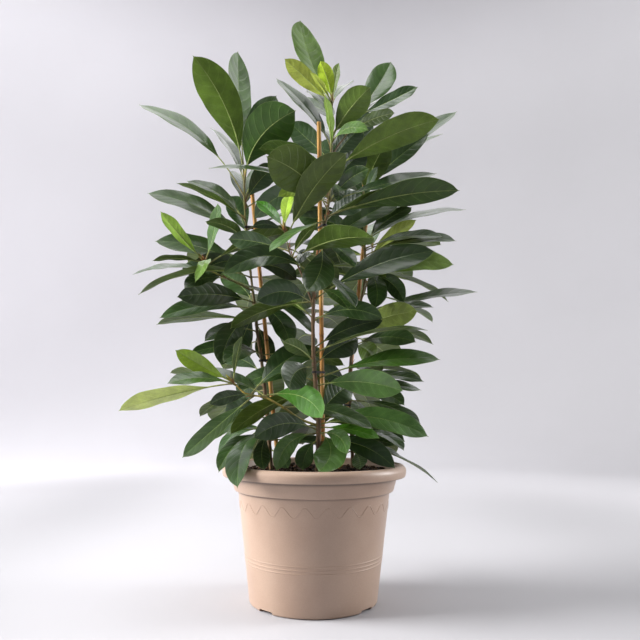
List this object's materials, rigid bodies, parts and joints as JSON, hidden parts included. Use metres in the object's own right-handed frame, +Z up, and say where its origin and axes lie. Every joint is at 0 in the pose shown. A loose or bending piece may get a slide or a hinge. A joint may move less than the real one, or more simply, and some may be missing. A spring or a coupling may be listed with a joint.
{
  "type": "potted ficus",
  "caption": "Bushy potted fig with broad glossy leaves on staked stems, in a round tapered plastic pot with a rolled rim and a fine zigzag.",
  "frame": {"origin": "centre of the pot's underside pad, on the surface that the pot stands on", "axes": "+Z up along the pot's axis, -Y towards the front that the picture shows, +X to the right seen from the front"},
  "size_m": [0.6621, 0.462, 1.082],
  "materials": {
    "pot_plastic": "satin",
    "peat": "matte",
    "bamboo": "satin",
    "foliage": "gloss",
    "band": "satin"
  },
  "bodies": {
    "root": {"pot": "pot_plastic", "soil": "peat", "cane_left": "bamboo", "cane_middle": "bamboo", "cane_right": "bamboo", "tie_left_low": "band", "tie_left_high": "band", "tie_middle_low": "band", "tie_middle_high": "band", "tie_right_low": "band", "tie_right_high": "band", "plant_left": "foliage", "plant_middle": "foliage", "plant_right": "foliage"}
  },
  "joints": []
}
